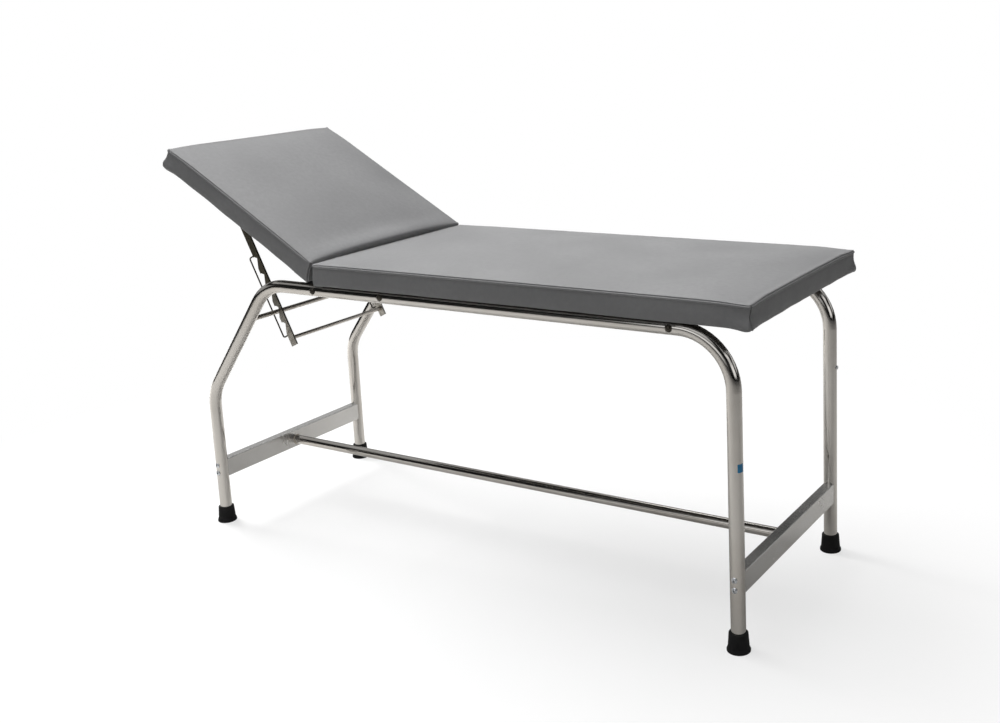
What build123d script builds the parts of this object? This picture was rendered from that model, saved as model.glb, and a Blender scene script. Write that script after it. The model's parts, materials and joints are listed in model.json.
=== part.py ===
from build123d import *
import os
from math import cos, radians, sin, sqrt, tan

# Examination couch with a raising backrest on a pair of ratchet bars.
# Millimetres. +X runs from the head end to the foot end, +Z is up.
# The origin is on the floor, mid-width, half way along the couch as it stands with its backrest raised.
# "near" pieces are on the -Y side and "far" pieces on the +Y side.
# Lengths along the couch are given from the joint line, the seat pad's end next to the backrest.

# Pads
couch_width = 600.0
seat_length = 1150.0
pad_thickness = 56.0
board_thickness = 12.0
board_inset = 12.0
board_clearance = 0.5
pad_corner_radius = 14.0

# Side frames, bent from round tube
tube_radius = 16.0
tube_wall = 1.5
frame_spacing = 547.0
rail_height = 680.0
head_leg = -424.0
foot_leg = 1099.0
slope_from_vertical = 37.0
knee_height = 367.0
bend_radius = 120.0
leg_bottom = 8.0

# Lower cross members and stretcher
member_height = 50.0
member_depth = 25.0
member_wall = 2.0
member_corner = 2.5
member_middle = 151.0
insert_length = 22.0
stretcher_radius = 12.5
stretcher_wall = 1.5
stretcher_height = 147.0

# Rubber feet
foot_height = 42.5
foot_top_radius = 20.5
foot_waist_radius = 22.8
foot_waist_height = 11.0
foot_base_radius = 25.4
foot_lip_height = 5.0
foot_rounding = 2.0

# Seat cross rails, under the seat board
cross_rail_size = 30.0
cross_rail_wall = 2.0
cross_rail_places = (200.0, 964.0)
seat_screw_rows = (-190.0, 0.0, 190.0)
pad_lift = 0.2

# Backrest hinge and underframe
backrest_angle = 30.0
backrest_range_up = 11.0
hinge_from_joint = -15.0
backrest_reach = 572.0
backrest_underside = 16.5
backrest_bottom_edge = 8.0
backrest_top_edge = 46.0
bevel_lip = 6.0
bevel_lip_lean = 2.0
hinge_plate_thickness = 5.0
hinge_plate_radius = 14.0
hinge_plate_length = 95.0
hinge_spacer_thickness = 1.0
hinge_spacer_radius = 11.0
underframe_size = 20.0
underframe_wall = 1.5
underframe_from = 30.0
underframe_to = 545.0
underframe_cross_places = (70.0, 535.0)
underframe_screw_places = (110.0, 300.0, 500.0)

# Rest rod and ratchet bars
rod_radius = 6.0
rod_from_joint = -263.4
rod_height = 580.3
rod_end_gap = 0.3
ratchet_spacing = 356.0
ratchet_lean = 26.0
lane_clearance = 0.4
bar_width = 20.0
bar_thickness = 5.0
notch_pitch = 47.3
notch_count = 5
notch_depth = 11.0
notch_floor = 8.0
notch_mouth = 33.0
notch_corner = 5.0
rest_notch = 4
rod_below_ledge = 14.4
bar_tail = 69.4
pivot_above_rod = 320.0
wire_radius = 2.0
wire_offset = 11.0
wire_bend = 5.0
wire_above_first_ledge = 4.0
wire_below_last_ledge = 37.7
tie_rod_radius = 5.0
tie_rod_below_last_ledge = 48.2

# Pivot brackets on the backrest board, with a slot for the pivot pin
bracket_sheet = 3.0
bracket_gap = 8.0
bracket_length = 72.0
bracket_drop = 52.5
bracket_corner = 8.0
bracket_screw_inset = 8.0
bracket_screw_radius = 1.125
bracket_screw_head_height = 1.0
slot_from_hinge = 417.2
slot_below_hinge = 11.4
slot_half_travel = 12.8
slot_width = 14.0
slot_angle = 45.0
pin_radius = 4.0
pin_flange_radius = 10.0
pin_flange_thickness = 2.0

# Fasteners
rail_bolt_radius = 4.0
hinge_bolt_radius = 5.0
bolt_head_radius = 8.5
bolt_head_height = 5.5
hinge_nut_width = 17.0
hinge_nut_thickness = 8.0
bolt_past_nut = 2.0
member_screw_radius = 3.0
member_screw_head_radius = 6.6
member_screw_head_height = 3.4
member_screw_spacing = 22.0
socket_width = 4.6
socket_depth = 2.8
board_screw_radius = 2.25
board_screw_head_radius = 4.5
board_screw_head_height = 2.5
board_screw_bite = 9.0
hole_clearance = 0.2
running_clearance = 0.05
cut_overshoot = 1.0
accessory_screw_height = 466.0
accessory_head_radius = 4.5
accessory_head_height = 3.0

# Blank label on the near foot-end leg
label_height = 18.0
label_middle = 404.0
label_thickness = 0.4
label_arc = 50.0

# Worked out from the sizes above
half_spacing = frame_spacing / 2
half_width = couch_width / 2
raise_cos = cos(radians(backrest_angle))
raise_sin = sin(radians(backrest_angle))
head_end = hinge_from_joint - backrest_reach * raise_cos + backrest_underside * raise_sin
joint_line = -(head_end + seat_length) / 2
hinge_x = joint_line + hinge_from_joint
rail_top = rail_height + tube_radius
seat_underside = rail_top + pad_lift
rail_inner = half_spacing - tube_radius
rail_outer = half_spacing + tube_radius
cross_rail_middle = seat_underside - cross_rail_size / 2
bracket_screw_reach = bracket_length / 2 - bracket_screw_inset
half_ratchet = ratchet_spacing / 2
sides = {"near": -1, "far": 1}
ends = {"head": head_leg, "foot": foot_leg}

os.makedirs("parts", exist_ok=True)


def save(piece, node):
    """Labels a finished piece and writes it as its own STEP file."""
    piece.part.label = node
    export_step(piece.part, f"parts/{node}.step")


def across(x, y, z):
    """A location at (x, y, z) whose own axis runs across the couch, along Y."""
    return Location((x, y, z), (90, 0, 0))


def backrest_profile_plane(y):
    """Plane of the backrest's side profile: hinge at its origin, local x towards the foot end
    along the backrest, local y square to the backrest and upwards."""
    return Plane(origin=(hinge_x, y, rail_height), x_dir=(raise_cos, 0, -raise_sin), z_dir=(0, -1, 0))


def backrest_plan_plane(height):
    """Plane parallel to the backrest, a given height above the hinge: local x towards the foot end."""
    origin = (hinge_x + height * raise_sin, 0, rail_height + height * raise_cos)
    return Plane(origin=origin, x_dir=(raise_cos, 0, -raise_sin), z_dir=(raise_sin, 0, raise_cos))


def ratchet_plane(y):
    """Plane of a ratchet bar: rest rod at its origin, local x down the bar, local y towards the head end."""
    lean = radians(ratchet_lean)
    origin = (joint_line + rod_from_joint, y, rod_height)
    return Plane(origin=origin, x_dir=(sin(lean), 0, -cos(lean)), z_dir=(0, 1, 0))


def add_domed_bolt(x, side, z, radius, length, head_radius, head_height):
    """Adds a domed bolt through a side frame: its head is outside the tube, its shank points inwards."""
    with Locations(across(x, side * (rail_outer - length / 2), z)):
        Cylinder(radius, length)
    dome_radius = (head_radius**2 + head_height**2) / (2 * head_height)
    dome_plane = Plane(origin=(x, side * rail_outer, z), x_dir=(1, 0, 0), z_dir=(0, side, 0))
    dome = dome_plane * Pos(0, 0, head_height - dome_radius) * Sphere(dome_radius, mode=Mode.PRIVATE)
    head_block = dome_plane * Pos(0, 0, head_height) * Box(
        4 * head_radius, 4 * head_radius, 2 * head_height, mode=Mode.PRIVATE
    )
    add(dome & head_block)


# Side frames: one tube each, from the head-end foot over the rail to the foot-end foot
slope_run = (rail_height - knee_height) * tan(radians(slope_from_vertical))
frame_points = [
    (joint_line + head_leg, leg_bottom),
    (joint_line + head_leg, knee_height),
    (joint_line + head_leg + slope_run, rail_height),
    (joint_line + foot_leg, rail_height),
    (joint_line + foot_leg, leg_bottom),
]
for side_name, side in sides.items():
    with BuildPart() as side_frame:
        with BuildLine(Plane.XZ.offset(-side * half_spacing)) as frame_line:
            FilletPolyline(*frame_points, radius=bend_radius)
        with BuildSketch(Plane(origin=frame_line.line @ 0, z_dir=frame_line.line % 0)):
            Circle(tube_radius)
            Circle(tube_radius - tube_wall, mode=Mode.SUBTRACT)
        sweep(path=frame_line.line)
        with Locations(across(hinge_x, side * half_spacing, rail_height)):
            Cylinder(hinge_bolt_radius + hole_clearance, 3 * tube_radius, mode=Mode.SUBTRACT)
        for place in cross_rail_places:
            with Locations(across(joint_line + place, side * half_spacing, cross_rail_middle)):
                Cylinder(rail_bolt_radius + hole_clearance, 3 * tube_radius, mode=Mode.SUBTRACT)
        for leg in ends.values():
            for step in (-0.5, 0.5):
                z = member_middle + step * member_screw_spacing
                with Locations(across(joint_line + leg, side * half_spacing, z)):
                    Cylinder(member_screw_radius + hole_clearance, 3 * tube_radius, mode=Mode.SUBTRACT)
        if side_name == "far":
            outer_wall = joint_line + foot_leg + tube_radius
            with Locations(Location((outer_wall, half_spacing, accessory_screw_height), (0, 90, 0))):
                Cylinder(member_screw_radius + hole_clearance, tube_radius, mode=Mode.SUBTRACT)
    save(side_frame, f"side_frame_{side_name}")

# Rubber feet: flared ferrules pushed onto the legs
for side_name, side in sides.items():
    for end_name, leg in ends.items():
        with BuildPart() as rubber_foot:
            with BuildSketch(Plane.XZ) as foot_profile:
                with BuildLine():
                    FilletPolyline(
                        (0, 0),
                        (foot_base_radius, 0),
                        (foot_base_radius, foot_lip_height),
                        (foot_waist_radius, foot_waist_height),
                        (foot_top_radius, foot_height),
                        (tube_radius, foot_height),
                        radius=foot_rounding,
                    )
                    Polyline(
                        (tube_radius, foot_height),
                        (tube_radius, leg_bottom),
                        (0, leg_bottom),
                        (0, 0),
                    )
                make_face()
            revolve(axis=Axis.Z)
        foot_place = Location((joint_line + leg, side * half_spacing, 0))
        rubber_foot.part.locate(foot_place)
        save(rubber_foot, f"rubber_foot_{end_name}_{side_name}")

# Lower cross members: rectangular tube, its ends coped to the legs
for end_name, leg in ends.items():
    with BuildPart() as cross_member:
        with BuildSketch(Plane.XZ):
            with Locations((joint_line + leg, member_middle)):
                RectangleRounded(member_depth, member_height, member_corner)
                Rectangle(member_depth - 2 * member_wall, member_height - 2 * member_wall, mode=Mode.SUBTRACT)
        extrude(amount=half_spacing, both=True)
        for side in sides.values():
            with Locations((joint_line + leg, side * half_spacing, member_middle)):
                Cylinder(tube_radius + hole_clearance / 2, 2 * member_height, mode=Mode.SUBTRACT)
    save(cross_member, f"{end_name}_cross_member")

# Insert blocks fixed inside the cross members' ends, with the screws' threaded holes
with BuildPart() as cross_member_inserts:
    for leg in ends.values():
        for side in sides.values():
            middle = side * (rail_inner - insert_length / 2 - member_wall)
            with Locations((joint_line + leg, middle, member_middle)):
                Box(member_depth - 2 * member_wall, insert_length, member_height - 2 * member_wall)
            for step in (-0.5, 0.5):
                with Locations(across(joint_line + leg, middle, member_middle + step * member_screw_spacing)):
                    Cylinder(member_screw_radius, 2 * insert_length, mode=Mode.SUBTRACT)
save(cross_member_inserts, "cross_member_inserts")

# Button-head screws through the legs into the insert blocks
with BuildPart() as cross_member_screws:
    for leg in ends.values():
        for side in sides.values():
            for step in (-0.5, 0.5):
                x = joint_line + leg
                z = member_middle + step * member_screw_spacing
                shank = 2 * tube_radius + insert_length
                add_domed_bolt(
                    x, side, z, member_screw_radius, shank, member_screw_head_radius, member_screw_head_height
                )
                head_face = side * (rail_outer + member_screw_head_height)
                with BuildSketch(Plane(origin=(x, head_face, z), z_dir=(0, side, 0))):
                    RegularPolygon(socket_width / 2, 6, major_radius=False)
                extrude(amount=-socket_depth, mode=Mode.SUBTRACT)
save(cross_member_screws, "cross_member_screws")

# Stretcher: round tube welded between the cross members
stretcher_from = joint_line + head_leg + member_depth / 2
stretcher_to = joint_line + foot_leg - member_depth / 2
with BuildPart() as stretcher_bar:
    with BuildSketch(Plane(origin=(stretcher_from, 0, stretcher_height), z_dir=(1, 0, 0))):
        Circle(stretcher_radius)
        Circle(stretcher_radius - stretcher_wall, mode=Mode.SUBTRACT)
    extrude(amount=stretcher_to - stretcher_from)
save(stretcher_bar, "stretcher_bar")

# Seat cross rails: square tube between the side rails, carrying the seat board
for end_name, place in zip(("head", "foot"), cross_rail_places):
    with BuildPart() as seat_cross_rail:
        with BuildSketch(Plane.XZ):
            with Locations((joint_line + place, cross_rail_middle)):
                Rectangle(cross_rail_size, cross_rail_size)
                Rectangle(cross_rail_size - 2 * cross_rail_wall, cross_rail_size - 2 * cross_rail_wall,
                          mode=Mode.SUBTRACT)
        extrude(amount=rail_inner - hole_clearance, both=True)
        for row in seat_screw_rows:
            with Locations((joint_line + place, row, cross_rail_middle)):
                Cylinder(board_screw_radius + hole_clearance / 2, 2 * cross_rail_size, mode=Mode.SUBTRACT)
    save(seat_cross_rail, f"seat_cross_rail_{end_name}")

# Insert blocks in the seat cross rails' ends, and the domed bolts through the side rails
insert_size = cross_rail_size - 2 * cross_rail_wall
with BuildPart() as seat_rail_inserts:
    for place in cross_rail_places:
        for side in sides.values():
            middle = side * (rail_inner - hole_clearance - insert_length / 2)
            with Locations((joint_line + place, middle, cross_rail_middle)):
                Box(insert_size, insert_length, insert_size)
            with Locations(across(joint_line + place, middle, cross_rail_middle)):
                Cylinder(rail_bolt_radius, 2 * insert_length, mode=Mode.SUBTRACT)
save(seat_rail_inserts, "seat_rail_inserts")


with BuildPart() as seat_rail_bolts:
    for place in cross_rail_places:
        for side in sides.values():
            bolt_length = 2 * tube_radius + insert_length
            add_domed_bolt(
                joint_line + place, side, cross_rail_middle, rail_bolt_radius, bolt_length,
                bolt_head_radius, bolt_head_height,
            )
save(seat_rail_bolts, "seat_rail_bolts")

# Seat board: plywood, let into the underside of the seat pad, with pilot holes for its screws
seat_middle = joint_line + seat_length / 2
with BuildPart() as seat_board:
    with BuildSketch(Plane.XY.offset(seat_underside)):
        with Locations((seat_middle, 0)):
            Rectangle(seat_length - 2 * board_inset, couch_width - 2 * board_inset)
    extrude(amount=board_thickness)
    for place in cross_rail_places:
        for row in seat_screw_rows:
            with Locations((joint_line + place, row, seat_underside)):
                Cylinder(board_screw_radius, 2 * board_screw_bite, mode=Mode.SUBTRACT)
save(seat_board, "seat_board")

# Seat board screws, up through the cross rails into the board
with BuildPart() as seat_board_screws:
    for place in cross_rail_places:
        for row in seat_screw_rows:
            head_top = seat_underside - cross_rail_size
            with Locations((joint_line + place, row, head_top - board_screw_head_height)):
                Cylinder(board_screw_head_radius, board_screw_head_height,
                         align=(Align.CENTER, Align.CENTER, Align.MIN))
            with Locations((joint_line + place, row, head_top)):
                Cylinder(board_screw_radius, cross_rail_size + board_screw_bite,
                         align=(Align.CENTER, Align.CENTER, Align.MIN))
save(seat_board_screws, "seat_board_screws")

# Seat cushion: the foam and cover, with a pocket underneath for the board
with BuildPart() as seat_cushion:
    with BuildSketch(Plane.XY.offset(seat_underside)):
        with Locations((seat_middle, 0)):
            RectangleRounded(seat_length, couch_width, pad_corner_radius)
    extrude(amount=pad_thickness)
    with BuildSketch(Plane.XY.offset(seat_underside)):
        with Locations((seat_middle, 0)):
            Rectangle(
                seat_length - 2 * (board_inset - board_clearance),
                couch_width - 2 * (board_inset - board_clearance),
            )
    extrude(amount=board_thickness + board_clearance, mode=Mode.SUBTRACT)
save(seat_cushion, "seat_cushion")

# Hinge: a bolt, spacer and nut on each side
plate_outer = rail_inner - hinge_spacer_thickness
plate_inner = plate_outer - hinge_plate_thickness
hinge_bolt_length = rail_outer - plate_inner + hinge_nut_thickness + bolt_past_nut
with BuildPart() as hinge_bolts:
    for side in sides.values():
        add_domed_bolt(
            hinge_x, side, rail_height, hinge_bolt_radius, hinge_bolt_length,
            bolt_head_radius, bolt_head_height,
        )
save(hinge_bolts, "hinge_bolts")

with BuildPart() as hinge_spacers:
    for side in sides.values():
        middle = side * (rail_inner - hinge_spacer_thickness / 2)
        with Locations(across(hinge_x, middle, rail_height)):
            Cylinder(hinge_spacer_radius, hinge_spacer_thickness - running_clearance)
            Cylinder(hinge_bolt_radius, 2 * hinge_spacer_thickness, mode=Mode.SUBTRACT)
save(hinge_spacers, "hinge_spacers")

with BuildPart() as hinge_nuts:
    for side in sides.values():
        nut_face = side * (plate_inner - running_clearance)
        with BuildSketch(Plane(origin=(hinge_x, nut_face, rail_height), z_dir=(0, -side, 0))):
            RegularPolygon(hinge_nut_width / 2, 6, major_radius=False)
            Circle(hinge_bolt_radius, mode=Mode.SUBTRACT)
        extrude(amount=hinge_nut_thickness)
save(hinge_nuts, "hinge_nuts")

# Hinge plates: flat bars with a round end about the hinge, welded to the underframe's side tubes
for side_name, side in sides.items():
    with BuildPart() as hinge_plate:
        with BuildSketch(backrest_profile_plane(side * (plate_outer + plate_inner) / 2)):
            Circle(hinge_plate_radius)
            with Locations((-hinge_plate_length / 2, 0)):
                Rectangle(hinge_plate_length, 2 * hinge_plate_radius)
            Circle(hinge_bolt_radius + running_clearance, mode=Mode.SUBTRACT)
        extrude(amount=hinge_plate_thickness / 2, both=True)
    save(hinge_plate, f"hinge_plate_{side_name}")

# Backrest underframe: two side tubes and two cross tubes under the board
underframe_middle = backrest_underside - underframe_size / 2
side_tube_y = plate_inner - underframe_size / 2
underframe_length = underframe_to - underframe_from
for side_name, side in sides.items():
    with BuildPart() as side_tube:
        with BuildSketch(backrest_profile_plane(side * side_tube_y)):
            with Locations((-(underframe_from + underframe_to) / 2, underframe_middle)):
                Rectangle(underframe_length, underframe_size)
        extrude(amount=underframe_size / 2, both=True)
        with BuildSketch(backrest_profile_plane(side * side_tube_y)):
            with Locations((-(underframe_from + underframe_to) / 2, underframe_middle)):
                Rectangle(underframe_length + 2 * cut_overshoot, underframe_size - 2 * underframe_wall)
        extrude(amount=underframe_size / 2 - underframe_wall, both=True, mode=Mode.SUBTRACT)
        with BuildSketch(backrest_plan_plane(backrest_underside - underframe_size - cut_overshoot)):
            with Locations(*[(-place, side * side_tube_y) for place in underframe_screw_places]):
                Circle(board_screw_radius + hole_clearance / 2)
        extrude(amount=underframe_size + 2 * cut_overshoot, mode=Mode.SUBTRACT)
    save(side_tube, f"backrest_side_tube_{side_name}")

cross_tube_half = side_tube_y - underframe_size / 2
for tube_name, place in zip(("hinge", "head"), underframe_cross_places):
    with BuildPart() as cross_tube:
        with BuildSketch(backrest_profile_plane(0)):
            with Locations((-place, underframe_middle)):
                Rectangle(underframe_size, underframe_size)
                Rectangle(underframe_size - 2 * underframe_wall, underframe_size - 2 * underframe_wall,
                          mode=Mode.SUBTRACT)
        extrude(amount=cross_tube_half, both=True)
    save(cross_tube, f"backrest_cross_tube_{tube_name}")

# Pivot brackets: inverted U of sheet screwed to the board, its ears slotted for the pivot pin
for side_name, side in sides.items():
    with BuildPart() as pivot_bracket:
        outer_width = bracket_gap + 2 * bracket_sheet
        with BuildSketch(backrest_profile_plane(side * half_ratchet)):
            with Locations((-slot_from_hinge, backrest_underside - bracket_drop / 2)):
                RectangleRounded(bracket_length, bracket_drop, bracket_corner)
            with Locations((-slot_from_hinge, backrest_underside - bracket_drop / 4)):
                Rectangle(bracket_length, bracket_drop / 2)
        extrude(amount=outer_width / 2, both=True)
        with BuildSketch(backrest_profile_plane(side * half_ratchet)):
            with Locations((-slot_from_hinge, backrest_underside - bracket_sheet - bracket_drop / 2)):
                Rectangle(bracket_length + 2 * cut_overshoot, bracket_drop)
        extrude(amount=bracket_gap / 2, both=True, mode=Mode.SUBTRACT)
        with BuildSketch(backrest_profile_plane(side * half_ratchet)):
            with Locations(Location((-slot_from_hinge, -slot_below_hinge, 0), (0, 0, slot_angle))):
                SlotCenterToCenter(2 * slot_half_travel, slot_width)
        extrude(amount=outer_width, both=True, mode=Mode.SUBTRACT)
        with BuildSketch(backrest_plan_plane(backrest_underside - bracket_sheet - cut_overshoot)):
            for step in (-1, 1):
                with Locations((-slot_from_hinge + step * bracket_screw_reach, side * half_ratchet)):
                    Circle(bracket_screw_radius + hole_clearance / 2)
        extrude(amount=bracket_sheet + 2 * cut_overshoot, mode=Mode.SUBTRACT)
    save(pivot_bracket, f"pivot_bracket_{side_name}")

# Backrest board, with pilot holes for its screws
board_from = backrest_bottom_edge + board_inset
board_to = backrest_reach - board_inset
with BuildPart() as backrest_board:
    with BuildSketch(backrest_plan_plane(backrest_underside)):
        with Locations((-(board_from + board_to) / 2, 0)):
            Rectangle(board_to - board_from, couch_width - 2 * board_inset)
    extrude(amount=board_thickness)
    with BuildSketch(backrest_plan_plane(backrest_underside)):
        for side in sides.values():
            with Locations(*[(-place, side * side_tube_y) for place in underframe_screw_places]):
                Circle(board_screw_radius)
            for step in (-1, 1):
                with Locations((-slot_from_hinge + step * bracket_screw_reach, side * half_ratchet)):
                    Circle(bracket_screw_radius)
    extrude(amount=board_screw_bite, mode=Mode.SUBTRACT)
save(backrest_board, "backrest_board")

# Backrest board screws: three up through each side tube, and two small ones in each pivot bracket
with BuildPart() as backrest_board_screws:
    tube_face = backrest_underside - underframe_size
    bracket_face = backrest_underside - bracket_sheet
    for side in sides.values():
        side_places = [(-place, side * side_tube_y) for place in underframe_screw_places]
        with BuildSketch(backrest_plan_plane(tube_face - board_screw_head_height)):
            with Locations(*side_places):
                Circle(board_screw_head_radius)
        extrude(amount=board_screw_head_height)
        with BuildSketch(backrest_plan_plane(tube_face)):
            with Locations(*side_places):
                Circle(board_screw_radius)
        extrude(amount=underframe_size + board_screw_bite)
        bracket_places = [
            (-slot_from_hinge + step * bracket_screw_reach, side * half_ratchet) for step in (-1, 1)
        ]
        with BuildSketch(backrest_plan_plane(bracket_face - bracket_screw_head_height)):
            with Locations(*bracket_places):
                Circle(board_screw_radius)
        extrude(amount=bracket_screw_head_height)
        with BuildSketch(backrest_plan_plane(bracket_face)):
            with Locations(*bracket_places):
                Circle(bracket_screw_radius)
        extrude(amount=bracket_sheet + board_screw_bite)
save(backrest_board_screws, "backrest_board_screws")

# Backrest cushion: bevelled at the hinge end so that it clears the seat pad when it is raised
cushion_top = backrest_underside + pad_thickness
with BuildPart() as backrest_cushion:
    with BuildSketch(backrest_profile_plane(0)):
        with BuildLine():
            Polyline(
                (-backrest_bottom_edge, backrest_underside),
                (-backrest_bottom_edge - bevel_lip_lean, backrest_underside + bevel_lip),
                (-backrest_top_edge, cushion_top),
                (-backrest_reach, cushion_top),
                (-backrest_reach, backrest_underside),
                (-backrest_bottom_edge, backrest_underside),
            )
        make_face()
    extrude(amount=half_width, both=True)
    with BuildSketch(backrest_plan_plane(backrest_underside)):
        with Locations((-(board_from + board_to) / 2, 0)):
            Rectangle(
                board_to - board_from + 2 * board_clearance,
                couch_width - 2 * (board_inset - board_clearance),
            )
    extrude(amount=board_thickness + board_clearance, mode=Mode.SUBTRACT)
save(backrest_cushion, "backrest_cushion")

# Rest rod between the side frames' slopes, which the ratchet bars hook over
with BuildPart() as rest_rod:
    with BuildSketch(Plane.XZ):
        with Locations((joint_line + rod_from_joint, rod_height)):
            Circle(rod_radius)
    extrude(amount=rail_inner - rod_end_gap, both=True)
save(rest_rod, "rest_rod")

# Ratchet bars: flat bar, its head-side edge cut with hooked notches, an eye at its top end
tip_line = -(rod_radius + lane_clearance)
bar_middle = tip_line - bar_width / 2
ledges = [-rod_below_ledge + notch_pitch * (number - rest_notch) for number in range(1, notch_count + 1)]
bar_end = ledges[-1] + bar_tail
eye_radius = bar_width / 2
for side_name, side in sides.items():
    with BuildPart() as ratchet_bar:
        with BuildSketch(ratchet_plane(side * half_ratchet)):
            with Locations(((bar_end - pivot_above_rod) / 2, bar_middle)):
                Rectangle(bar_end + pivot_above_rod, bar_width)
            with Locations((-pivot_above_rod, bar_middle)):
                Circle(eye_radius)
                Circle(pin_radius + hole_clearance, mode=Mode.SUBTRACT)
            for ledge in ledges:
                with BuildLine():
                    Polyline(
                        (ledge, tip_line + cut_overshoot),
                        (ledge, tip_line - notch_depth + notch_corner),
                    )
                    RadiusArc(
                        (ledge, tip_line - notch_depth + notch_corner),
                        (ledge + notch_corner, tip_line - notch_depth),
                        notch_corner,
                    )
                    Polyline(
                        (ledge + notch_corner, tip_line - notch_depth),
                        (ledge + notch_floor, tip_line - notch_depth),
                        (ledge + notch_mouth, tip_line),
                        (ledge + notch_mouth, tip_line + cut_overshoot),
                        (ledge, tip_line + cut_overshoot),
                    )
                make_face(mode=Mode.SUBTRACT)
        extrude(amount=bar_thickness / 2, both=True)
    save(ratchet_bar, f"ratchet_bar_{side_name}")

# Guard wires: bent wire that closes the lane outside the notches, welded to the bar's edge
wire_from = ledges[0] - wire_above_first_ledge
wire_to = ledges[-1] + wire_below_last_ledge
for side_name, side in sides.items():
    with BuildPart() as guard_wire:
        with BuildLine(ratchet_plane(side * half_ratchet)) as wire_line:
            FilletPolyline(
                (wire_from, tip_line),
                (wire_from, wire_offset),
                (wire_to, wire_offset),
                (wire_to, tip_line),
                radius=wire_bend,
            )
        with BuildSketch(Plane(origin=wire_line.line @ 0, z_dir=wire_line.line % 0)):
            Circle(wire_radius)
        sweep(path=wire_line.line)
    save(guard_wire, f"guard_wire_{side_name}")

# Tie rod between the two ratchet bars
with BuildPart() as tie_rod:
    with BuildSketch(ratchet_plane(0)):
        with Locations((ledges[-1] + tie_rod_below_last_ledge, bar_middle)):
            Circle(tie_rod_radius)
    extrude(amount=half_ratchet - bar_thickness / 2, both=True)
save(tie_rod, "tie_rod")

# Pivot pins through the bars' eyes, flanged outside the brackets' ears, and their push-on clips
pin_reach = bracket_gap / 2 + bracket_sheet + 2 * hole_clearance
with BuildPart() as pivot_pins:
    for side in sides.values():
        pin_centre = (-pivot_above_rod, bar_middle)
        with BuildSketch(ratchet_plane(side * half_ratchet)):
            with Locations(pin_centre):
                Circle(pin_radius)
        extrude(amount=pin_reach + pin_flange_thickness, both=True)
        with BuildSketch(ratchet_plane(side * half_ratchet + pin_reach)):
            with Locations(pin_centre):
                Circle(pin_flange_radius)
        extrude(amount=pin_flange_thickness)
save(pivot_pins, "pivot_pins")

with BuildPart() as pivot_clips:
    for side in sides.values():
        with BuildSketch(ratchet_plane(side * half_ratchet - pin_reach - pin_flange_thickness)):
            with Locations((-pivot_above_rod, bar_middle)):
                Circle(pin_flange_radius)
                Circle(pin_radius, mode=Mode.SUBTRACT)
        extrude(amount=pin_flange_thickness)
save(pivot_clips, "pivot_clips")

# Small screw in the far foot-end leg
with BuildPart() as accessory_screw:
    outer_wall = joint_line + foot_leg + tube_radius
    with Locations(Location((outer_wall, half_spacing, accessory_screw_height), (0, 90, 0))):
        Cylinder(member_screw_radius, 3 * tube_wall)
    with Locations(Location((outer_wall, half_spacing, accessory_screw_height), (0, 90, 0))):
        Cylinder(accessory_head_radius, accessory_head_height, align=(Align.CENTER, Align.CENTER, Align.MIN))
save(accessory_screw, "accessory_screw")

# Blank label: a thin patch on the near foot-end leg's outer side
with BuildPart() as blank_label:
    with BuildSketch(Plane(origin=(joint_line + foot_leg, -half_spacing, label_middle), z_dir=(0, 0, 1))):
        Circle(tube_radius + label_thickness)
        Circle(tube_radius, mode=Mode.SUBTRACT)
        with BuildLine():
            Polyline(
                (0, 0),
                (2 * tube_radius, 0),
                (2 * tube_radius * cos(radians(label_arc)), -2 * tube_radius * sin(radians(label_arc))),
                (0, 0),
            )
        make_face(mode=Mode.INTERSECT)
    extrude(amount=label_height / 2, both=True)
save(blank_label, "blank_label")
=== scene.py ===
"""Examination couch with a raising backrest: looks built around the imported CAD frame.
Metres. +X runs from the head end to the foot end, +Z is up, "near" is the -Y side."""

import json
import math

import bmesh
import bpy
import numpy as np
from mathutils import Matrix, Vector, noise


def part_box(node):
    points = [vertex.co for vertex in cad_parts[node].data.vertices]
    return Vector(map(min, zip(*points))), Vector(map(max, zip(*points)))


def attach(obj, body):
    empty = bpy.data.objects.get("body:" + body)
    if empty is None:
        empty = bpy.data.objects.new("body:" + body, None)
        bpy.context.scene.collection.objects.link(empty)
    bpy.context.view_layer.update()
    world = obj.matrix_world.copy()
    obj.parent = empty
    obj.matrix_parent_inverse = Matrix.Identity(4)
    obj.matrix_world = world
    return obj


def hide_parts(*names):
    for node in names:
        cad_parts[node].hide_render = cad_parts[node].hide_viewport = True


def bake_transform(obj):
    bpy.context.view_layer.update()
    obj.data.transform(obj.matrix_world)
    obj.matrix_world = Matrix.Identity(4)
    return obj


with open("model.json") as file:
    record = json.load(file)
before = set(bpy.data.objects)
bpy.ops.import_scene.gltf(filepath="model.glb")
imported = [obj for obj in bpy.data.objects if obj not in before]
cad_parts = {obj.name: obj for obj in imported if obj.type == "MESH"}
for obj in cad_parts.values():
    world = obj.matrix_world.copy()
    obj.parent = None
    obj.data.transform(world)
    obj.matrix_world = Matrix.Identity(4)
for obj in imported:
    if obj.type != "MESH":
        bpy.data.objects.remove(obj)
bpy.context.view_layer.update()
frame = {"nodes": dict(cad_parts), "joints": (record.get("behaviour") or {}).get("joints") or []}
nodes = frame["nodes"]
joints = {joint["name"]: joint for joint in frame["joints"]}
materials = {}
MM = 0.001

# ---------------------------------------------------------------- places taken from the frame
hinge = Vector(joints["backrest_hinge"]["pos_m"])
raised = math.radians(-joints["backrest_hinge"]["range_deg"][0])
seat_low, seat_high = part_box("seat_cushion")
seat_board_low, seat_board_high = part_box("seat_board")
joint_line = seat_low.x
half_width = seat_high.y
pad_thickness = seat_high.z - seat_low.z
board_inset = seat_board_low.x - seat_low.x
board_thickness = seat_board_high.z - seat_board_low.z
along_backrest = Vector((-math.cos(raised), 0, math.sin(raised)))
above_backrest = Vector((math.sin(raised), 0, math.cos(raised)))


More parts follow.
